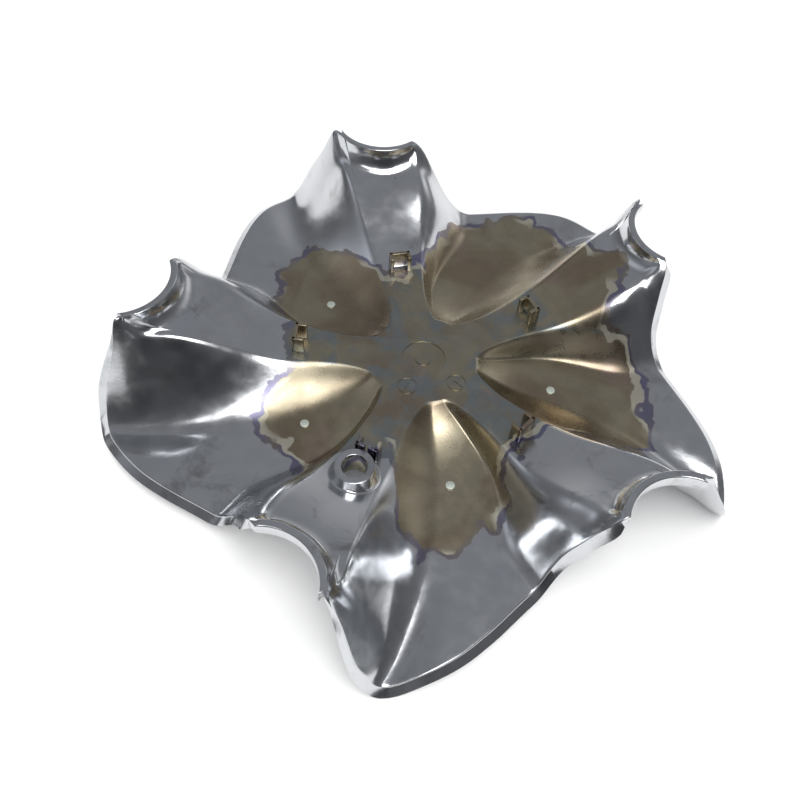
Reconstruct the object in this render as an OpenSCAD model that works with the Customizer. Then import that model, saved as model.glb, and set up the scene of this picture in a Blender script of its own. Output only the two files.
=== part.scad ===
// Five-lobed wheel centre cap, one chrome-plated moulding, seen from its back.
// The cap lies face down: its back looks up, +Z, and the axis of the wheel is Z.
// The flat star in the middle of the back is z = 0, and the screw boss stands on
// the arm that runs along -Y.

/* [Lobes] */
// Reach of a lobe tip from the axis
tip_r = 105.3; // [102:0.1:108]
// Angle of a lobe tip, counted from the middle of the arm before it
tip_angle = 18.5; // [17:0.1:20]
// Reach of the rim at its waist, where a lobe meets the next arm
waist_r = 81.1; // [79:0.1:82.5]
// Angle of that waist, counted from the middle of the arm before it
waist_angle = 53.5; // [52:0.1:55]
// Distance from the axis at which the hollow of a lobe begins
hollow_r = 17.5; // [16:0.1:20]
// Depth of a lobe's floor under the star in the middle, near the rim
lobe_depth = 11.3; // [9:0.1:13]
// Depth of a lobe tip under the star in the middle
tip_depth = 15.1; // [13.5:0.1:18]
// Angle that the crease of a lobe gains for each millimetre inward from its tip
crease_turn = 0.225; // [0.2:0.005:0.25]
// How far the edge of the outer face stands out past the edge of the back
rim_flare = 2.4; // [1.5:0.1:3]
// Height of the slanted face around a lobe
rim_face = 2.6; // [2:0.1:3.4]

/* [Arms] */
// Distance from the axis at which an arm begins to climb
ramp_start = 42; // [39:0.5:45]
// Distance from the axis at which an arm has climbed to its full height
ramp_end = 84; // [80:0.5:90]
// Height of the end of an arm over the star
ramp_z = 12; // [9:0.1:13]
// How much higher an arm is at its trailing edge
ramp_lean = 2.4; // [0:0.1:3]
// Half width of an arm in degrees, on its trailing side
trail_angle = 10; // [9:0.1:11]

/* [Lips] */
// Height of the lips over the star
lip_z = 19.4; // [17.5:0.1:21]
// Radius of the round bite that a lip stands around
bite_r = 16.9; // [16:0.1:17.5]
// Distance from the axis to the centre of a bite
bite_centre_r = 101.1; // [100:0.1:102]
// Angle by which a bite sits behind the middle of its arm
bite_lag = 2.2; // [1.8:0.1:2.6]
// Turn of a lip around its bite, from the deepest point to its leading end
lip_lead = 71.5; // [68:0.5:74]
// Turn of a lip around its bite, from the deepest point to its trailing end
lip_trail = 31.5; // [29:0.5:34]
// Height of the outer face of a lip
lip_face = 3.5; // [2.5:0.1:4.5]
// Round between an arm and the lip that stands on it
lip_fillet = 5.1; // [3.5:0.1:6]

/* [Wall] */
// Thickness of the moulded wall
wall = 2.4; // [2:0.1:2.8]

/* [Screw boss] */
// Distance of the screw boss from the axis
boss_r = 51; // [50:0.1:52.5]
// Height of the boss face over the star
boss_z = 6.8; // [5.8:0.1:9]
// Diameter of the boss face
boss_d = 12.2; // [11:0.1:13]
// Slope of the side of the boss, in degrees from upright
boss_draft = 12; // [4:0.5:14]
// Diameter of the bore for the screw
bore_d = 7.8; // [6:0.1:9]

/* [Ribs] */
// Radius of the ring of ribs, over their outer faces
rib_r = 43.5; // [42.5:0.1:44.5]
// Width of a rib along that ring
rib_w = 7.4; // [5:0.1:9]
// Thickness of the rib walls
rib_t = 1.3; // [1:0.1:1.8]
// Length of the two legs of a rib
rib_leg = 2.6; // [2:0.1:4]
// Height of the ribs over the star
rib_z = 6.3; // [4:0.1:8]
// Gap in the rib that stands next to the boss
rib_gap = 1; // [0.6:0.1:2.4]

/* [Middle] */
// Diameter of the shallow recess in the middle
recess_d = 14.7; // [12:0.1:16]
// Depth of that recess
recess_depth = 0.35; // [0.2:0.05:0.6]
// Diameter of the round gate mark that stands in the recess
gate_d = 5.2; // [3:0.1:7]
// Diameter of the two insert marks
insert_d = 6.7; // [6:0.1:7]
// Depth of the insert marks
insert_depth = 0.25; // [0.1:0.05:0.6]
// Distance from the axis to the insert mark on the boss arm
insert_boss_r = 12.8; // [12:0.1:16]
// Distance from the axis to the insert mark on the next arm
insert_arm_r = 14.4; // [13:0.1:17]
// Diameter of the pin marks in the lobes
pin_d = 3; // [2:0.1:4]
// Distance from the axis to the pin marks
pin_r = 44; // [40:0.5:60]

/* [Hidden] */
arms = 5;
sector = 360 / arms;

function limit(t) = min(1, max(0, t));
function ease(t) = let(c = limit(t)) c * c * (3 - 2 * c);
function unease(t) = 1 - sqrt(1 - pow(1 - limit(t), 2));

// Outline: angles count from the middle of an arm, forward to the next one.
function bite_at(a, gap) =
    let(d = a + bite_lag, s = bite_centre_r * sin(d))
    bite_centre_r * cos(d) - sqrt(max(0, pow(bite_r + gap, 2) - s * s));
function bite_turn(b) = atan2(bite_r * sin(b), bite_centre_r - bite_r * cos(b)) - bite_lag;
function bite_gap(r, a) =
    norm([r * cos(a + bite_lag) - bite_centre_r, r * sin(a + bite_lag)]) - bite_r;
lead_end = bite_turn(lip_lead);
trail_end = bite_turn(-lip_trail);
lead_r = bite_at(lead_end, 0);
trail_r = bite_at(trail_end, 0);
lip_end = lead_end + wall / lead_r * 180 / PI;

rim = [
    [lip_end, lead_r + 0.3],
    [11.5, tip_r - 5.5],
    [14.5, tip_r - 0.8],
    [tip_angle, tip_r],
    [24, tip_r - 3],
    [30, tip_r - 7.5],
    [36, (tip_r + waist_r) / 2 - 0.9],
    [42, waist_r + 6.1],
    [47, waist_r + 2.9],
    [waist_angle, waist_r],
    [58.5, waist_r + 2.4],
    [61.3, trail_r - 1.3],
    [sector + trail_end, trail_r]];
function span(a, i = 0) = i >= len(rim) - 2 || a < rim[i + 1][0] ? i : span(a, i + 1);
function slope(i) =
    let(l = max(0, i - 1), h = min(len(rim) - 1, i + 1))
    (rim[h][1] - rim[l][1]) / (rim[h][0] - rim[l][0]);
function rim_at(a) =
    let(i = span(a), w = rim[i + 1][0] - rim[i][0], t = (a - rim[i][0]) / w)
    rim[i][1] + ease(t) * (rim[i + 1][1] - rim[i][1])
    + w * t * (1 - t) * (slope(i) * (1 - t) - slope(i + 1) * t);
function flare_at(a) =
    let(lean = (rim_at(a + 0.5) - rim_at(a - 0.5)) * 180 / PI / rim_at(a))
    rim_flare * ease((a - lip_end) / 3) * ease((sector + trail_end - a) / 3) * norm([1, lean]);

// Arms: a ramp that climbs along the arm, with a lip around the bite.
function ramp(r, a) =
    let(x = r * cos(a), y = r * sin(a))
    ramp_z * ease((x - ramp_start) / (ramp_end - ramp_start))
    + ramp_lean * ease((x - 50) / 22) * pow(limit(-y / 14), 1.5);
function arm_back(r, a) =
    let(z = ramp(r, a)) z + (lip_z - z) * unease((bite_gap(r, a) - wall) / lip_fillet);
function arm_front(r, a) =
    let(z = ramp(r, a))
    z + (lip_z - lip_face + wall - z) * unease(bite_gap(r, a) / (wall + lip_fillet));

// Lobes: flanks that fall from the edges of two arms to a shallow floor.
function lead_edge(r) = lip_end + 0.8 * ease((60 - r) / 20) + 18 * exp((hollow_r - r) / 6);
function trail_edge(r) =
    sector - trail_angle - 12 * exp((hollow_r - r) / 6)
    + (trail_angle + trail_end) * ease((r - 66) / (trail_r - 66));
function crease(r) =
    max(min(tip_angle + crease_turn * (tip_r - r), 33), lead_edge(r) + 9);
function lead_fall(r, a) =
    let(t = limit((a - lead_edge(r)) / (crease(r) - lead_edge(r))))
    1 - pow(max(0, 1 - 1.1 * t * t / (t + 0.1)), 1.7);
function trail_fall(r, a) = ease((trail_edge(r) - a) / (7.5 + 9.5 * ease((r - 34) / 38)));
function floor_at(r, a) =
    let(d = lobe_depth / 11.3)
    d * (-9.4 * (1 - exp((hollow_r - r) / 12.4)) - 0.025 * (r - hollow_r))
    - (tip_depth - lobe_depth) * ease((r - 60) / 45) * exp(-pow(max(0, a - crease(r)) / 4.5, 2));
function lobe(r, a, lead, trail) =
    let(l = lead_fall(r, a), t = trail_fall(r, a))
    floor_at(r, a) * l * t + lead * (1 - l) + trail * (1 - t);
function sheet(r, a) =
    lobe(r, a, ramp(min(r, lead_r), lead_edge(r)), ramp(min(r, trail_r), trail_edge(r) - sector));
// Crests between arm and lobe climb smoothly to the two ends of the lip.
function lead_crest(r) =
    let(z = ramp(min(r, lead_r), lead_edge(r)))
    z + (lip_z - z) * pow(ease((r - 84) / (lead_r - 84)), 2.5);
function trail_crest(r) =
    let(z = ramp(min(r, trail_r), trail_edge(r) - sector))
    z + (lip_z - z) * pow(ease((r - 77) / (trail_r - 77)), 1.5);
function back_at(r, a) =
    let(low = lead_edge(r), high = trail_edge(r))
    a <= low ? arm_back(r, a) + (lead_crest(r) - arm_back(r, low)) * ease((a - low + 2) / 2)
    : a >= high ? arm_back(r, a - sector)
        + (trail_crest(r) - arm_back(r, high - sector)) * ease((high + 2 - a) / 2)
    : lobe(r, a, lead_crest(r), trail_crest(r));
function plain_at(r, a) =
    a <= lead_edge(r) ? ramp(r, a) : a >= trail_edge(r) ? ramp(r, a - sector) : sheet(r, a);
function depth_at(r, a) =
    let(dr = plain_at(r + 0.4, a) - plain_at(r - 0.4, a),
        turn = 0.4 / r * 180 / PI,
        da = plain_at(r, a + turn) - plain_at(r, a - turn))
    wall * sqrt(1 + min(9, (dr * dr + da * da) / 0.64));
function front_at(r, a) =
    (a <= lead_edge(r) ? arm_front(r, a)
    : a >= trail_edge(r) ? arm_front(r, a - sector) : back_at(r, a)) - depth_at(r, a);

// Net of points: columns that run out from the middle, close where it turns.
columns = concat(
    [for (i = [0:7]) bite_turn(-lip_trail + i * (lip_lead + lip_trail) / 8)],
    [lead_end],
    [for (i = [0:5]) lip_end + i * (tip_angle - lip_end) / 6],
    [for (i = [0:7]) tip_angle + (47 - tip_angle) * pow(i / 8, 1.2)],
    [for (i = [0:5]) 47 + i * (sector + trail_end - 47) / 6]);
gaps = [lip_fillet + wall, 2.4 + wall, 1.1 + wall, 0.35 + wall, wall, 0];
edges = [9.5, 7, 5, 3.4, 1.6, 0];
steps = [0, 0.055, 0.12, 0.2, 0.3, 0.4, 0.51, 0.62, 0.74, 0.87];
function turn_at(a, r) =
    a + ease((80 - r) / 25) * (lookup(a, [
        [trail_end, trail_edge(r) - sector],
        [lip_end, lead_edge(r)],
        [tip_angle, crease(r)],
        [sector + trail_end, trail_edge(r)]]) - a);
function outer(a) = a <= lead_end ? [for (g = gaps) bite_at(a, g)] : [for (e = edges) rim_at(a) - e];
function column(a) =
    let(o = outer(a)) concat([for (t = steps) hollow_r + t * (o[0] - hollow_r)], o);
rows = len(steps) + len(gaps);
net = [for (s = [0:arms - 1]) for (a = columns) for (i = [0:rows - 1])
    let(r = column(a)[i], b = turn_at(a, r), t = s * sector + b,
        back = i == 0 ? 0 : i >= rows - 2 && a <= lead_end ? lip_z : back_at(r, b),
        rim_row = i == rows - 1 && a > lip_end,
        reach = r + (rim_row ? flare_at(a) : 0),
        front = i == 0 ? -wall : rim_row ? back - rim_face - (depth_at(r, b) - wall) / 2 : front_at(r, b))
    [[r * cos(t), r * sin(t), back], [reach * cos(t), reach * sin(t), front]]];
turns = len(net) / rows;
function id(t, i, side) = (side * turns + t % turns) * rows + i;
function pair(p, q, s, t) = [[p, q, s], [p, s, t]];

module shell() {
    points = concat([for (p = net) p[0]], [for (p = net) p[1]]);
    faces = concat(
        [for (t = [0:turns - 1]) for (i = [0:rows - 2])
            each pair(id(t, i, 0), id(t + 1, i, 0), id(t + 1, i + 1, 0), id(t, i + 1, 0))],
        [for (t = [0:turns - 1]) for (i = [0:rows - 2])
            each pair(id(t, i, 1), id(t, i + 1, 1), id(t + 1, i + 1, 1), id(t + 1, i, 1))],
        [for (t = [0:turns - 1])
            each pair(id(t, rows - 1, 0), id(t + 1, rows - 1, 0),
                id(t + 1, rows - 1, 1), id(t, rows - 1, 1))],
        [[for (t = [turns - 1:-1:0]) id(t, 0, 0)]],
        [[for (t = [0:turns - 1]) id(t, 0, 1)]]);
    rotate(-90) polyhedron(points, faces);
}

module boss() {
    spread = (boss_z + wall) * tan(boss_draft);
    rise = atan(ramp(boss_r + boss_d / 2, 0) / boss_d);
    difference() {
        translate([0, -boss_r, -wall])
            cylinder(h = boss_z + wall, r1 = boss_d / 2 + spread, r2 = boss_d / 2, $fn = 48);
        translate([0, -boss_r, ramp(boss_r, 0) - wall / 2])
            rotate([-rise, 0, 0])
            translate([-20, -20, -20])
            cube([40, 40, 20]);
    }
}

module rib(gap) {
    height = rib_z + wall / 2;
    translate([0, 0, -wall / 2])
    difference() {
        translate([-rib_w / 2, -rib_r, 0]) cube([rib_w, rib_leg + rib_t, height]);
        translate([rib_t - rib_w / 2, rib_t - rib_r, -1])
            cube([rib_w - 2 * rib_t, rib_leg + 1, height + 2]);
        if (gap > 0) translate([-gap / 2, -rib_r - 1, wall / 2]) cube([gap, rib_t + 2, height]);
    }
}

module insert_mark() {
    translate([0, 0, -insert_depth]) {
        difference() {
            cylinder(h = 1, r = insert_d / 2, $fn = 32);
            translate([0, 0, -1]) cylinder(h = 3, r = insert_d / 2 - 0.5, $fn = 32);
        }
        translate([-0.4, -insert_d / 2, 0]) cube([0.8, insert_d * 0.7, 1]);
    }
}

module cap() {
    color("silver")
    difference() {
        union() {
            shell();
            boss();
            rib(rib_gap);
            for (i = [1:arms - 1]) rotate(i * sector) rib(0);
            for (i = [0:arms - 2])
                rotate((i + 0.5) * sector - 90)
                translate([pin_r, 0, floor_at(pin_r, sector / 2) - wall / 2])
                cylinder(h = wall / 2 + 0.4, r = pin_d / 2, $fn = 16);
        }
        translate([0, -boss_r, -20]) cylinder(h = 40, r = bore_d / 2, $fn = 48);
        translate([0, 0, -recess_depth])
            difference() {
                cylinder(h = 1, r = recess_d / 2, $fn = 48);
                translate([0, 0, -1]) cylinder(h = 3, r = gate_d / 2, $fn = 32);
            }
        translate([0, -insert_boss_r, 0]) insert_mark();
        rotate(sector) translate([0, -insert_arm_r, 0]) insert_mark();
    }
}

cap();
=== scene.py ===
import bpy
import math
import numpy as np
from mathutils import Matrix, Vector


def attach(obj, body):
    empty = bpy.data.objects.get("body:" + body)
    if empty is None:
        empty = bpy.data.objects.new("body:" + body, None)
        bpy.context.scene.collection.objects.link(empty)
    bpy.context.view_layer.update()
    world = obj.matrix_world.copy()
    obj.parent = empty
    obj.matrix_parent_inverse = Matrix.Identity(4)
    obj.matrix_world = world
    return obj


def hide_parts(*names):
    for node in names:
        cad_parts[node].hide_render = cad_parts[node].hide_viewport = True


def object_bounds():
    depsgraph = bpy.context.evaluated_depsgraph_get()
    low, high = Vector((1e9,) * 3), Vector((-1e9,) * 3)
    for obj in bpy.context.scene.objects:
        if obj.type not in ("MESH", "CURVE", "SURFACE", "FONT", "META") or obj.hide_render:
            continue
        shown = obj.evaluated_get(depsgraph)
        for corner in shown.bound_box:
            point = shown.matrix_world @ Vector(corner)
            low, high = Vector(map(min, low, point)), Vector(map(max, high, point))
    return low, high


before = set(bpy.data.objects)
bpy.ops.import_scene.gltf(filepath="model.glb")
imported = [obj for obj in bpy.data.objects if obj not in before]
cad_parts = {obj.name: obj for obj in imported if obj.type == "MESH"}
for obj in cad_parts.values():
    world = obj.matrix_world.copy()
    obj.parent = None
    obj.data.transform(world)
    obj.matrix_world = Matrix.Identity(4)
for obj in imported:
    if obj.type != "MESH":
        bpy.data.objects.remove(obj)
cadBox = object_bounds()

# All shape sizes are millimetres and degrees, turned to metres when a mesh is made.
mm = 0.001
arms = 5
sector = 72.0

shape = {
    "tipR": 105.3, "tipAngle": 18.5, "waistR": 81.1, "waistAngle": 53.5,
    "hollowR": 17.5, "lobeDepth": 11.3, "tipDepth": 15.1, "rimFlare": 2.4, "rimFace": 2.6,
    "rampStart": 42.0, "rampEnd": 84.0, "rampZ": 12.0, "rampLean": 2.4,
    "trailAngle": 10.0, "creaseTurn": 0.225,
    "lipZ": 19.4, "biteR": 16.9, "biteCentreR": 101.1, "biteLag": 2.2,
    "lipLead": 71.5, "lipTrail": 31.5, "lipFace": 3.5, "lipFillet": 5.1, "wall": 2.4,
    "bossR": 51.0, "bossZ": 6.8, "bossD": 12.2, "boreD": 7.8,
    "ribR": 43.5, "ribW": 7.4, "ribT": 1.3, "ribLeg": 2.6, "ribZ": 6.3, "ribGap": 1.0,
    "recessD": 14.7, "recessDepth": 0.35, "gateD": 5.2,
    "insertD": 6.7, "insertDepth": 0.25, "insertBossR": 12.8, "insertArmR": 14.4,
    "pinD": 3.0, "pinR": 44.0, "pinLobes": (0, 1, 3, 4),
}


def sind(a):
    return np.sin(np.radians(a))


def cosd(a):
    return np.cos(np.radians(a))


def limit(t):
    return np.clip(t, 0.0, 1.0)


def ease(t):
    c = limit(t)
    return c * c * (3 - 2 * c)


def unease(t):
    return 1 - np.sqrt(np.maximum(0.0, 1 - (1 - limit(t)) ** 2))


# The bite at the end of each arm, and the angles of the lip that stands around it.
def biteAt(a, gap):
    d = a + shape["biteLag"]
    s = shape["biteCentreR"] * sind(d)
    return shape["biteCentreR"] * cosd(d) - np.sqrt(np.maximum(0.0, (shape["biteR"] + gap) ** 2 - s * s))


def biteTurn(b):
    x = shape["biteCentreR"] - shape["biteR"] * cosd(b)
    return np.degrees(np.arctan2(shape["biteR"] * sind(b), x)) - shape["biteLag"]


def biteGap(r, a):
    d = a + shape["biteLag"]
    return np.hypot(r * cosd(d) - shape["biteCentreR"], r * sind(d)) - shape["biteR"]


wall = shape["wall"]
leadEnd = float(biteTurn(shape["lipLead"]))
trailEnd = float(biteTurn(-shape["lipTrail"]))
leadR = float(biteAt(leadEnd, 0))
trailR = float(biteAt(trailEnd, 0))
lipEnd = leadEnd + math.degrees(wall / leadR)

rimAngles = [lipEnd, 11.5, 14.5, shape["tipAngle"], 24, 30, 36, 42, 47, shape["waistAngle"], 58.5, 61.3,
             sector + trailEnd]
rimReach = [leadR + 0.3, shape["tipR"] - 5.5, shape["tipR"] - 0.8, shape["tipR"], shape["tipR"] - 3,
            shape["tipR"] - 7.5, (shape["tipR"] + shape["waistR"]) / 2 - 0.9, shape["waistR"] + 6.1,
            shape["waistR"] + 2.9, shape["waistR"], shape["waistR"] + 2.4, trailR - 1.3, trailR]


def rimAt(a):
    n = len(rimAngles)
    i = min(n - 2, max(0, sum(1 for k in rimAngles[1:] if a >= k)))

    def slope(k):
        low, high = max(0, k - 1), min(n - 1, k + 1)
        return (rimReach[high] - rimReach[low]) / (rimAngles[high] - rimAngles[low])
    w = rimAngles[i + 1] - rimAngles[i]
    t = (a - rimAngles[i]) / w
    return (rimReach[i] + float(ease(t)) * (rimReach[i + 1] - rimReach[i])
            + w * t * (1 - t) * (slope(i) * (1 - t) - slope(i + 1) * t))


def flareAt(a):
    lean = math.degrees(rimAt(a + 0.5) - rimAt(a - 0.5)) / rimAt(a)
    ends = float(ease((a - lipEnd) / 3) * ease((sector + trailEnd - a) / 3))
    return shape["rimFlare"] * ends * math.hypot(1, lean)


# Heights of the arms.
def ramp(r, a):
    x, y = r * cosd(a), r * sind(a)
    z = shape["rampZ"] * ease((x - shape["rampStart"]) / (shape["rampEnd"] - shape["rampStart"]))
    return z + shape["rampLean"] * ease((x - 50) / 22) * limit(-y / 14) ** 1.5


def armBack(r, a):
    z = ramp(r, a)
    return z + (shape["lipZ"] - z) * unease((biteGap(r, a) - wall) / shape["lipFillet"])


def armFront(r, a):
    z = ramp(r, a)
    rise = shape["lipZ"] - shape["lipFace"] + wall - z
    return z + rise * unease(biteGap(r, a) / (wall + shape["lipFillet"]))


# Heights of the lobes between them.
def leadEdge(r):
    return lipEnd + 0.8 * ease((60 - r) / 20) + 18 * np.exp((shape["hollowR"] - r) / 6)


def trailEdge(r):
    return (sector - shape["trailAngle"] - 12 * np.exp((shape["hollowR"] - r) / 6)
            + (shape["trailAngle"] + trailEnd) * ease((r - 66) / (trailR - 66)))


def crease(r):
    turn = shape["tipAngle"] + shape["creaseTurn"] * (shape["tipR"] - r)
    return np.maximum(np.minimum(turn, 33), leadEdge(r) + 9)


def leadFall(r, a):
    t = limit((a - leadEdge(r)) / (crease(r) - leadEdge(r)))
    return 1 - np.maximum(0.0, 1 - 1.1 * t * t / (t + 0.1)) ** 1.7


def trailFall(r, a):
    return ease((trailEdge(r) - a) / (7.5 + 9.5 * ease((r - 34) / 38)))


def floorAt(r, a):
    d = shape["lobeDepth"] / 11.3
    z = d * (-9.4 * (1 - np.exp((shape["hollowR"] - r) / 12.4)) - 0.025 * (r - shape["hollowR"]))
    valley = np.exp(-(np.maximum(0.0, a - crease(r)) / 4.5) ** 2)
    return z - (shape["tipDepth"] - shape["lobeDepth"]) * ease((r - 60) / 45) * valley


def lobe(r, a, lead, trail):
    f, g = leadFall(r, a), trailFall(r, a)
    return floorAt(r, a) * f * g + lead * (1 - f) + trail * (1 - g)


def leadCrest(r):
    z = ramp(np.minimum(r, leadR), leadEdge(r))
    return z + (shape["lipZ"] - z) * ease((r - 84) / (leadR - 84)) ** 2.5


def trailCrest(r):
    z = ramp(np.minimum(r, trailR), trailEdge(r) - sector)
    return z + (shape["lipZ"] - z) * ease((r - 77) / (trailR - 77)) ** 1.5


def heights(r, a, arm, lead, trail):
    low, high = leadEdge(r), trailEdge(r)
    near = arm(r, a) + (lead - arm(r, low)) * ease((a - low + 2) / 2)
    far = arm(r, a - sector) + (trail - arm(r, high - sector)) * ease((high + 2 - a) / 2)
    return np.where(a <= low, near, np.where(a >= high, far, lobe(r, a, lead, trail)))


def backAt(r, a):
    return heights(r, a, armBack, leadCrest(r), trailCrest(r))


def plainAt(r, a):
    lead = ramp(np.minimum(r, leadR), leadEdge(r))
    trail = ramp(np.minimum(r, trailR), trailEdge(r) - sector)
    return heights(r, a, ramp, lead, trail)


def depthAt(r, a):
    turn = np.degrees(0.4 / r)
    dr = plainAt(r + 0.4, a) - plainAt(r - 0.4, a)
    da = plainAt(r, a + turn) - plainAt(r, a - turn)
    return wall * np.sqrt(1 + np.minimum(9, (dr * dr + da * da) / 0.64))


def frontAt(r, a):
    low, high = leadEdge(r), trailEdge(r)
    z = np.where(a <= low, armFront(r, a), np.where(a >= high, armFront(r, a - sector), backAt(r, a)))
    return z - depthAt(r, a)


def turnAt(a, r):
    knots = [trailEnd, lipEnd, shape["tipAngle"], sector + trailEnd]
    places = [float(trailEdge(r)) - sector, float(leadEdge(r)), float(crease(r)), float(trailEdge(r))]
    return a + float(ease((80 - r) / 25)) * (float(np.interp(a, knots, places)) - a)


# Columns of points run out from the middle, and rows close up at the rim and the lip's wall.
rimGaps = [7.5, 6.6, 5.7, 4.9, 4.2, 3.6, 3.1, 2.8, 2.6, 2.47, 2.41, 2.4, 2.3, 2.1, 1.9, 1.2,
           0.45, 0.2, 0.06, 0.0]
columnAngles = (
    [float(biteTurn(-shape["lipTrail"] + i * (shape["lipLead"] + shape["lipTrail"]) / 26)) for i in range(27)]
    + [leadEnd + (lipEnd - leadEnd) * k for k in (0.3, 0.6, 0.85)]
    + [lipEnd + i * (shape["tipAngle"] - lipEnd) / 20 for i in range(20)]
    + [shape["tipAngle"] + (47 - shape["tipAngle"]) * (i / 24) for i in range(24)]
    + [47 + i * (sector + trailEnd - 47) / 20 for i in range(20)])
innerRows = 46
hubRings = [16.4, 16.9, 17.3]


def roundOff(gap, radius):
    g = np.clip(gap, 0, radius)
    return radius - np.sqrt(np.maximum(0.0, radius ** 2 - (radius - g) ** 2))


def columnPoints(a):
    onLip = a <= leadEnd
    if onLip:
        outer = [float(biteAt(a, g)) for g in rimGaps]
    else:
        outer = [rimAt(a) - g for g in rimGaps]
    first = outer[0]
    run = first - shape["hollowR"]
    inner = [shape["hollowR"] + run * (i / innerRows) ** 1.05 for i in range(innerRows)]
    radii = np.array(hubRings + inner + outer)
    turns = np.array([turnAt(a, r) for r in radii])
    onHub = radii <= shape["hollowR"]
    back = np.where(onHub, 0.0, backAt(np.maximum(radii, shape["hollowR"]), turns))
    front = np.where(onHub, -wall, frontAt(np.maximum(radii, shape["hollowR"]), turns))
    back = np.minimum(back, shape["lipZ"])
    gaps = np.array([99.0] * (len(hubRings) + innerRows) + rimGaps)
    if onLip:
        back = np.where(gaps <= wall + 1e-6, shape["lipZ"], back)
        back = back - roundOff(np.where(gaps > wall, 99, wall + 0.02 - gaps), 0.5)
    back = back - roundOff(gaps, 0.45)
    reach = radii.copy()
    if not onLip:
        # the slanted face around a lobe stands out past the edge of the back
        share = limit(1 - gaps / 1.6)
        edge = back[-1] + 0.45 - shape["rimFace"] - (float(depthAt(radii[-1], turns[-1])) - wall) / 2
        reach = radii + share * flareAt(a)
        front = front + share * (edge - front)
    front = front + roundOff(gaps, 0.45)
    return radii, turns, back, reach, front


def shellMesh():
    columns = [columnPoints(a) for a in columnAngles]
    rows = len(hubRings) + innerRows + len(rimGaps)
    points = []
    for side in (0, 1):
        for s in range(arms):
            for radii, turns, back, reach, front in columns:
                t = np.radians(turns + s * sector - 90)
                r, z = (radii, back) if side == 0 else (reach, front)
                points.append(np.stack([r * np.cos(t), r * np.sin(t), z], axis=1))
    points = np.concatenate(points) * mm
    turnsAll = arms * len(columns)

    def ident(t, i, side):
        return (side * turnsAll + t % turnsAll) * rows + i
    faces = []
    for t in range(turnsAll):
        for i in range(rows - 1):
            faces.append((ident(t, i, 0), ident(t, i + 1, 0), ident(t + 1, i + 1, 0), ident(t + 1, i, 0)))
            faces.append((ident(t, i, 1), ident(t + 1, i, 1), ident(t + 1, i + 1, 1), ident(t, i + 1, 1)))
        faces.append((ident(t, rows - 1, 0), ident(t, rows - 1, 1), ident(t + 1, rows - 1, 1),
                      ident(t + 1, rows - 1, 0)))
    faces.append(tuple(ident(t, 0, 0) for t in range(turnsAll)))
    faces.append(tuple(ident(t, 0, 1) for t in reversed(range(turnsAll))))
    mesh = bpy.data.meshes.new("cap_shell")
    mesh.from_pydata([tuple(p) for p in points], [], faces)
    mesh.validate()
    return mesh


def linear(hexColour):
    h = hexColour.lstrip("#")
    out = []
    for i in (0, 2, 4):
        c = int(h[i:i + 2], 16) / 255
        out.append(c / 12.92 if c <= 0.04045 else ((c + 0.055) / 1.055) ** 2.4)
    return (*out, 1.0)


def choose(*pieces):
    bpy.ops.object.select_all(action="DESELECT")
    for piece in pieces:
        piece.select_set(True)
    bpy.context.view_layer.objects.active = pieces[0]


def applied(piece, kind, **settings):
    choose(piece)
    modifier = piece.modifiers.new(kind.lower(), kind)
    for name, value in settings.items():
        setattr(modifier, name, value)
    bpy.ops.object.modifier_apply(modifier=modifier.name)
    return piece


def joined(pieces):
    choose(*pieces)
    bpy.ops.object.join()
    return bpy.context.object


def turned(piece, angle):
    choose(piece)
    piece.rotation_euler = (0, 0, math.radians(angle))
    bpy.ops.object.transform_apply(location=True, rotation=True, scale=True)
    return piece


def cylinder(radius, low, high, x, y, steps=64, ends="NGON"):
    bpy.ops.object.select_all(action="DESELECT")
    bpy.ops.mesh.primitive_cylinder_add(vertices=steps, radius=radius * mm, depth=(high - low) * mm,
                                        end_fill_type=ends, location=(x * mm, y * mm, (low + high) / 2 * mm))
    return turned(bpy.context.object, 0)


def block(x0, x1, y0, y1, z0, z1):
    bpy.ops.object.select_all(action="DESELECT")
    centre = ((x0 + x1) / 2 * mm, (y0 + y1) / 2 * mm, (z0 + z1) / 2 * mm)
    bpy.ops.mesh.primitive_cube_add(size=1, location=centre)
    bpy.context.object.scale = ((x1 - x0) * mm, (y1 - y0) * mm, (z1 - z0) * mm)
    return turned(bpy.context.object, 0)


def ringCutter(outer, inner, depth, x, y):
    tube = cylinder(outer, -depth, 1, x, y, ends="NOTHING")
    return applied(tube, "SOLIDIFY", thickness=(outer - inner) * mm, offset=-1)


def heightBelow(x, y):
    r = math.hypot(x, y)
    a = (math.degrees(math.atan2(y, x)) + 98) % sector - 8
    return float(backAt(np.array([r]), np.array([a]))[0]), float(frontAt(np.array([r]), np.array([a]))[0])


# Marks sunk into the flat middle, and the hole of the screw boss.
def cutMarks(shell):
    cutters = [
        cylinder(shape["boreD"] / 2, -20, 20, 0, -shape["bossR"]),
        ringCutter(shape["recessD"] / 2, shape["gateD"] / 2, shape["recessDepth"], 0, 0)]
    for reach, angle in ((shape["insertBossR"], 0), (shape["insertArmR"], sector)):
        r, d = shape["insertD"] / 2, shape["insertDepth"]
        cutters.append(turned(ringCutter(r, r - 0.5, d, 0, -reach), angle))
        cutters.append(turned(block(-0.4, 0.4, -reach - r + 0.7, -reach + 0.4 * r, -d, 1), angle))
    cutter = joined(cutters)
    applied(shell, "BOOLEAN", operation="DIFFERENCE", object=cutter, solver="EXACT")
    bpy.data.objects.remove(cutter)
    print("marks", len(shell.data.polygons))


# The boss flares into the arm around its foot, and its rings follow the slope there.
bossRings = [(8.5, -0.25), (8.0, 0.04), (7.6, 0.16), (7.3, 0.42), (7.12, 0.9)]
bossEdge = {"side": 0.3, "mouth": 0.25}


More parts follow.
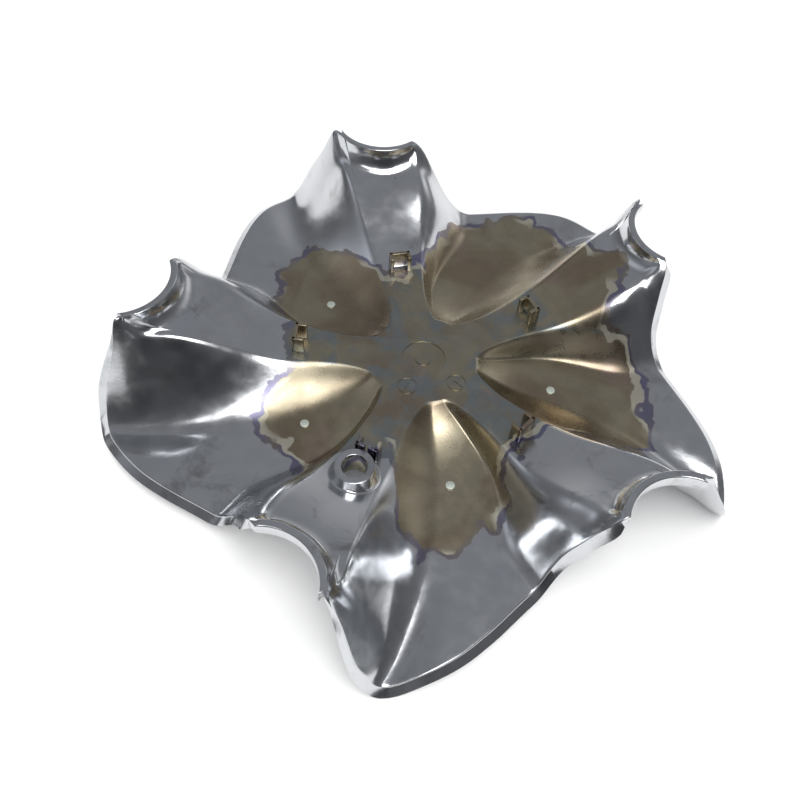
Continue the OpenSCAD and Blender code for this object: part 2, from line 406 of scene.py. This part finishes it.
def makeBoss():
    top, r, bore = shape["bossZ"], shape["bossD"] / 2, shape["boreD"] / 2
    side, mouth = bossEdge["side"], bossEdge["mouth"]
    rings = bossRings + [
        (r, top - side), (r - 0.3 * side, top - 0.3 * side), (r - side, top),
        (bore + mouth, top), (bore + 0.3 * mouth, top - 0.3 * mouth), (bore, top - mouth), (bore, -3)]
    centre = (0, -shape["bossR"] * mm, 0)
    bpy.ops.object.select_all(action="DESELECT")
    bpy.ops.mesh.primitive_circle_add(vertices=72, radius=rings[0][0] * mm,
                                      location=(0, centre[1], rings[0][1] * mm))
    piece = turned(bpy.context.object, 0)
    bpy.ops.object.mode_set(mode="EDIT")
    bpy.ops.mesh.select_all(action="SELECT")
    for (wide, low), (narrow, high) in zip(rings, rings[1:]):
        bpy.ops.mesh.extrude_region_move(TRANSFORM_OT_translate={"value": (0, 0, (high - low) * mm)})
        bpy.ops.transform.resize(value=(narrow / wide, narrow / wide, 1), center_override=centre)
    bpy.ops.mesh.select_all(action="SELECT")
    bpy.ops.mesh.normals_make_consistent(inside=False)
    bpy.ops.object.mode_set(mode="OBJECT")
    for v in piece.data.vertices:
        back, front = heightBelow(v.co.x / mm, v.co.y / mm)
        if v.co.z < -2 * mm:
            v.co.z = front * mm
        elif math.hypot(v.co.x, v.co.y - centre[1]) > 7 * mm:
            v.co.z += back * mm
    print("boss", len(piece.data.polygons))
    return piece


def makeRib(gap, angle):
    w, t, near = shape["ribW"] / 2, shape["ribT"], -shape["ribR"]
    top, far = shape["ribZ"], near + shape["ribLeg"] + t
    parts = [block(-w, -w + t, near, far, -0.6, top), block(w - t, w, near, far, -0.6, top)]
    if gap:
        parts += [block(-w, -gap / 2, near, near + t, -0.6, top),
                  block(gap / 2, w, near, near + t, -0.6, top)]
    else:
        parts.append(block(-w, w, near, near + t, -0.6, top))
    rib = joined([applied(p, "BEVEL", width=0.28 * mm, segments=3) for p in parts])
    return turned(rib, angle)


def makePin(k):
    a = math.radians((k + 0.5) * sector - 90)
    x, y = shape["pinR"] * math.cos(a), shape["pinR"] * math.sin(a)
    z = heightBelow(x, y)[0]
    disc = cylinder(shape["pinD"] / 2, z - 1, z + 0.4, x, y, steps=32)
    return applied(disc, "BEVEL", width=0.15 * mm, segments=2)


shellObject = bpy.data.objects.new("cap", shellMesh())
bpy.context.collection.objects.link(shellObject)
print("shell", len(shellObject.data.polygons))
cutMarks(shellObject)
shellObject = joined([shellObject, makeBoss(), makeRib(shape["ribGap"], 0)]
                     + [makeRib(0, i * sector) for i in range(1, arms)]
                     + [makePin(k) for k in shape["pinLobes"]])
bpy.ops.object.shade_smooth_by_angle(angle=math.radians(40))
print("cap", len(shellObject.data.polygons))


def addNode(tree, kind, links=(), **settings):
    node = tree.nodes.new(kind)
    for name, value in settings.items():
        setattr(node, name, value)
    for socket, value in links:
        if isinstance(value, bpy.types.NodeSocket):
            tree.links.new(value, node.inputs[socket])
        else:
            node.inputs[socket].default_value = value
    return node


# Where the plating turns from bright to thin: reach of the border in mm at an azimuth in degrees.
# The mesh keeps each point's signed distance to it for the material, and the outer face is all bright.
platingBorder = {
    -90: 43, -81: 40, -76: 50, -71: 66, -66: 70, -60: 67, -52: 65, -44: 61, -36: 54, -29: 46, -18: 48, -8: 47,
    0: 66, 6: 81, 20: 77, 32: 75, 40: 68, 48: 76, 56: 82, 63: 76, 70: 84, 80: 91, 90: 91, 100: 78,
    108: 64, 114: 46, 126: 41, 137: 45, 143: 62, 150: 73, 158: 71, 168: 68, 176: 60, 185: 48, 198: 46,
    212: 46, 222: 58,
    232: 60, 244: 57, 254: 52, 262: 43}


def markPlating(piece):
    mesh = piece.data
    points = np.empty(len(mesh.vertices) * 3)
    mesh.vertices.foreach_get("co", points)
    x, y, z = points.reshape(-1, 3).T / mm
    r, azimuth = np.hypot(x, y), np.degrees(np.arctan2(y, x))
    reach = np.interp(azimuth, list(platingBorder), list(platingBorder.values()), period=360)
    far, a = np.maximum(r, shape["hollowR"]), (azimuth + 98) % sector - 8
    back = np.where(r < shape["hollowR"], 0, backAt(far, a))
    values = np.where(z < back - 1.2, -30, reach - r)
    onRib = (z > back + 0.6) & (r < 47.6) & (np.abs(azimuth + 90) > 20)
    # Painted shade: the wall inside the screw bore gets the satin bronze of the thin plating so that the hole
    # reads dark.
    shadedBore = (np.hypot(x, y + shape["bossR"]) < shape["boreD"] / 2 + 0.1) & (z < shape["bossZ"] - 0.5)
    values = np.where(onRib | shadedBore, np.maximum(values, 7), values)
    pin = np.zeros(len(r))
    for k in shape["pinLobes"]:
        spot = math.radians((k + 0.5) * sector - 90)
        away = np.hypot(x - shape["pinR"] * math.cos(spot), y - shape["pinR"] * math.sin(spot))
        pin = np.where((away < shape["pinD"] / 2 + 0.02) & (z > back + 0.1), 1.0, pin)
    for name, data in (("plating", values), ("height", z), ("pin", pin)):
        mesh.attributes.new(name, "FLOAT", "POINT").data.foreach_set("value", data.astype(np.float32))


# Chrome-plated ABS: bright blue-grey chrome outside, and satin bronze where the chrome is thin in
# the hollows.
chromeLook = {
    "bright": "#c9cbce", "smudge": "#8f9090", "violet": "#7f7f9c", "pale": "#d2cebd", "pin": "#e3eadf",
    "bronze": "#a9a08a", "brown": "#978975", "rose": "#a59388", "blueGrey": "#8f9799",
    "rough": 0.17, "satin": 0.28, "grain": 0.4, "ripple": 8.0,
}


def chromeMaterial():
    look = chromeLook
    mat = bpy.data.materials.new("chrome_plated_abs")
    mat.use_nodes = True
    tree = mat.node_tree
    bsdf = tree.nodes["Principled BSDF"]
    place = addNode(tree, "ShaderNodeTexCoord").outputs["Object"]

    def noise(size, detail=3.0, rough=0.55, warp=0.0):
        links = [("Vector", place), ("Scale", 1000 / size), ("Detail", detail), ("Roughness", rough),
                 ("Distortion", warp)]
        return addNode(tree, "ShaderNodeTexNoise", links).outputs["Fac"]

    def span(value, low, high, a=0.0, b=1.0):
        return addNode(tree, "ShaderNodeMapRange", [("Value", value), ("From Min", low), ("From Max", high),
                                                    ("To Min", a), ("To Max", b)],
                       interpolation_type="SMOOTHSTEP").outputs["Result"]

    def maths(operation, a, b):
        return addNode(tree, "ShaderNodeMath", [(0, a), (1, b)], operation=operation).outputs[0]

    def blend(amount, a, b):
        links = [("Factor", amount)]
        for socket, value in ((6, a), (7, b)):
            links.append((socket, linear(look[value]) if isinstance(value, str) else value))
        return addNode(tree, "ShaderNodeMix", links, data_type="RGBA").outputs[2]

    plating = addNode(tree, "ShaderNodeAttribute", attribute_name="plating").outputs["Fac"]
    waves = maths("ADD", span(noise(13, 1, 0.5, 0.5), 0.3, 0.7, -3.2, 3.2),
                  span(noise(3.2, 1), 0.3, 0.7, -0.7, 0.7))
    depth = maths("ADD", plating, waves)
    thin = span(depth, -0.3, 0.5)

    hollow = blend(span(noise(26, 3, 0.5, 0.8), 0.4, 0.62), "bronze", "brown")
    hollow = blend(span(noise(17, 2), 0.55, 0.72, 0.0, 0.6), hollow, "rose")
    flat = addNode(tree, "ShaderNodeAttribute", attribute_name="height").outputs["Fac"]
    middle = maths("MULTIPLY", span(flat, -0.6, -0.1), span(flat, 1.2, 0.4))
    patches = maths("MULTIPLY", middle, span(noise(13, 4, 0.6, 1.2), 0.42, 0.62, 0.1, 0.85))
    hollow = blend(patches, hollow, "blueGrey")
    strip = maths("MULTIPLY", maths("MULTIPLY", span(depth, 2.6, 3.1), span(depth, 6.4, 5.6)),
                  span(noise(30, 1), 0.46, 0.52, 0.0, 0.85))
    line = maths("MULTIPLY", span(depth, -0.2, 0.3), span(depth, 3.4, 2.7))
    hollow = blend(strip, hollow, "pale")
    hollow = blend(maths("MULTIPLY", line, span(noise(15, 1), 0.35, 0.62, 0.15, 0.85)), hollow, "violet")

    smudges = maths("MULTIPLY", span(noise(14, 5, 0.65, 0.4), 0.52, 0.7),
                    span(noise(40, 1), 0.42, 0.6, 0.15, 0.8))
    specks = span(noise(1.5, 2, 0.5), 0.74, 0.79, 0.0, 0.7)
    bright = blend(maths("MAXIMUM", smudges, specks), "bright", "smudge")
    colour = blend(thin, bright, hollow)
    pin = addNode(tree, "ShaderNodeAttribute", attribute_name="pin").outputs["Fac"]
    colour = blend(pin, colour, "pin")
    tree.links.new(colour, bsdf.inputs["Base Color"])
    bsdf.inputs["Metallic"].default_value = 1.0

    satin = maths("ADD", span(thin, 0, 1, look["rough"], look["satin"]), maths("MULTIPLY", strip, 0.14))
    rough = maths("ADD", satin, maths("MULTIPLY", smudges, 0.10))
    rough = maths("ADD", rough, span(noise(6, 4), 0.35, 0.7, -0.03, 0.05))
    rough = maths("ADD", rough, maths("MULTIPLY", pin, 0.3))
    tree.links.new(rough, bsdf.inputs["Roughness"])

    grain = addNode(tree, "ShaderNodeBump", [("Height", noise(look["grain"] * 2, 2, 0.6)), ("Strength", 0.5),
                                             ("Distance", 0.000018)])
    ripple = addNode(tree, "ShaderNodeBump", [("Height", noise(look["ripple"], 2, 0.5)), ("Strength", 0.6),
                                              ("Distance", 0.00006), ("Normal", grain.outputs[0])])
    tree.links.new(ripple.outputs[0], bsdf.inputs["Normal"])
    return mat


markPlating(shellObject)
chrome = chromeMaterial()
shellObject.data.materials.append(chrome)
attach(shellObject, "root")
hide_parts("cap")

def along(azimuth, elevation, distance):
    a, b = math.radians(azimuth), math.radians(elevation)
    out = distance * math.cos(b)
    return (out * math.cos(a), out * math.sin(a), distance * math.sin(b))


# A pale table top that starts just outside the near side of the view.
table = {"size": 2.4, "away": 109, "middle": 1.04, "turn": 19}
bpy.ops.mesh.primitive_plane_add(size=table["size"],
                                 location=(*along(table["away"], 0, table["middle"])[:2], cadBox[0][2]),
                                 rotation=(0, 0, math.radians(table["turn"])))
floorObject = bpy.context.object
floorObject.name = "floor"
floorMat = bpy.data.materials.new("white_table")
floorMat.use_nodes = True
floorMat.node_tree.nodes["Principled BSDF"].inputs["Base Color"].default_value = linear("#f4f4f4")
floorMat.node_tree.nodes["Principled BSDF"].inputs["Roughness"].default_value = 0.9
floorObject.data.materials.append(floorMat)

# The studio: metal mirrors a dark room with a few soft glows, the camera sees white, and all else
# is lit by a sky that is brighter overhead. A glow below zero darkens its side of the room.
# Each glow is azimuth, elevation, spread in radians, strength and colour.
glows = {
    "ceiling": (109, 56, 0.75, 0.21, "#eff4ff"),
    "over_camera": (275, 64, 0.26, 0.10, "#ffffff"),
    "right_far": (59, 22, 0.17, 0.75, "#ffffff"),
    "left_window": (193, 34, 0.18, 0.50, "#f2f6ff"),
    "left_low": (230, 8, 0.22, 0.18, "#f4f8ff"),
    "far_wall": (106, 6, 0.24, 0.35, "#ffffff"),
    "photographer": (300, 22, 0.35, -0.06, "#ffffff"),
}
roomLevel = 0.085
# The sky that lights the table: strength at the horizon, and what it gains up to the zenith.
skyLow, skyRise = 0.12, 1.35


def makeWorld():
    world = bpy.data.worlds.new("studio")
    bpy.context.scene.world = world
    world.use_nodes = True
    tree = world.node_tree
    tree.nodes.clear()
    coord = addNode(tree, "ShaderNodeTexCoord")
    unit = addNode(tree, "ShaderNodeVectorMath", [(0, coord.outputs["Generated"])], operation="NORMALIZE")
    total = addNode(tree, "ShaderNodeRGB").outputs[0]
    total.default_value = (roomLevel, roomLevel, roomLevel * 1.03, 1)
    for azimuth, elevation, spread, strength, colour in glows.values():
        a, b = math.radians(azimuth), math.radians(elevation)
        way = (math.cos(b) * math.cos(a), math.cos(b) * math.sin(a), math.sin(b))
        dot = addNode(tree, "ShaderNodeVectorMath", [(0, unit.outputs[0]), (1, way)], operation="DOT_PRODUCT")
        links = [(0, dot.outputs["Value"]), (1, spread ** -2), (2, -spread ** -2)]
        fall = addNode(tree, "ShaderNodeMath", links, operation="MULTIPLY_ADD")
        bell = addNode(tree, "ShaderNodeMath", [(0, fall.outputs[0])], operation="EXPONENT")
        level = addNode(tree, "ShaderNodeMath", [(0, bell.outputs[0]), (1, strength)], operation="MULTIPLY")
        tint = addNode(tree, "ShaderNodeVectorMath", [(0, linear(colour)[:3]), ("Scale", level.outputs[0])],
                       operation="SCALE")
        total = addNode(tree, "ShaderNodeVectorMath", [(0, total), (1, tint.outputs[0])],
                        operation="ADD").outputs[0]
    room = addNode(tree, "ShaderNodeBackground", [("Color", total)])
    split = addNode(tree, "ShaderNodeSeparateXYZ", [(0, unit.outputs[0])])
    above = addNode(tree, "ShaderNodeMath", [(0, split.outputs["Z"]), (1, skyRise), (2, skyLow)],
                    operation="MULTIPLY_ADD")
    sky = addNode(tree, "ShaderNodeBackground", [("Color", (1, 1, 1, 1)), ("Strength", above.outputs[0])])
    white = addNode(tree, "ShaderNodeBackground", [("Color", (1, 1, 1, 1)), ("Strength", 1.0)])
    path = addNode(tree, "ShaderNodeLightPath")
    mix = addNode(tree, "ShaderNodeMixShader", [(0, path.outputs["Is Glossy Ray"]), (1, sky.outputs[0]),
                                                (2, room.outputs[0])])
    mix = addNode(tree, "ShaderNodeMixShader", [(0, path.outputs["Is Camera Ray"]), (1, mix.outputs[0]),
                                                (2, white.outputs[0])])
    addNode(tree, "ShaderNodeOutputWorld", [("Surface", mix.outputs[0])])
    return world


world = makeWorld()


def areaLight(name, place, target, lengthwise, size, power, colour="#ffffff"):
    data = bpy.data.lights.new(name, "AREA")
    data.shape = "RECTANGLE"
    data.size, data.size_y = size
    data.energy = power
    data.color = linear(colour)[:3]
    lamp = bpy.data.objects.new(name, data)
    bpy.context.collection.objects.link(lamp)
    out = (Vector(place) - Vector(target)).normalized()
    long = Vector(along(lengthwise, 0, 1))
    long = (long - out * long.dot(out)).normalized()
    turn = Matrix((long.cross(out), long, out)).transposed().to_4x4()
    turn.translation = place
    lamp.matrix_world = turn
    return lamp


# A softbox overhead toward the camera, and a low strip beside it.
areaLight("key", along(311.6, 67, 0.9), (0, 0, 0), 289, (0.45, 0.52), 3.7)
areaLight("strip", along(268, 56, 0.9), (0, 0, 0), 289, (0.36, 0.14), 0.45)

# camera
view = {"e": 0.90858, "roll": 0.10675, "u": 418.80, "v": 356.13, "distance": 297.396, "focal": 892.19,
        "turn": 19.3}


def makeCamera():
    e, roll = view["e"], view["roll"]
    ax = math.atan2(view["u"] - 400, view["focal"])
    ay = math.atan2(view["v"] - 400, view["focal"])
    right = Vector((1, 0, 0))
    up = Vector((0, math.sin(e), math.cos(e)))
    ahead = Vector((0, math.cos(e), -math.sin(e)))
    r1 = right * math.cos(ax) + ahead * math.sin(ax)
    f1 = -right * math.sin(ax) + ahead * math.cos(ax)
    u2 = up * math.cos(ay) - f1 * math.sin(ay)
    f2 = up * math.sin(ay) + f1 * math.cos(ay)
    cr = r1 * math.cos(roll) + u2 * math.sin(roll)
    cu = -r1 * math.sin(roll) + u2 * math.cos(roll)
    spin = Matrix.Rotation(math.radians(view["turn"]), 3, "Z")
    cr, cu, cf = spin @ cr, spin @ cu, spin @ f2
    place = spin @ (-ahead * view["distance"] * mm)
    cam = bpy.data.cameras.new("camera")
    cam.sensor_width = 36
    cam.lens = view["focal"] / 800 * 36
    cam.clip_start = 0.01
    camera = bpy.data.objects.new("camera", cam)
    bpy.context.collection.objects.link(camera)
    m = Matrix((cr, cu, -cf)).transposed().to_4x4()
    m.translation = place
    camera.matrix_world = m
    bpy.context.scene.camera = camera


makeCamera()
bpy.context.scene.view_settings.view_transform = "Standard"
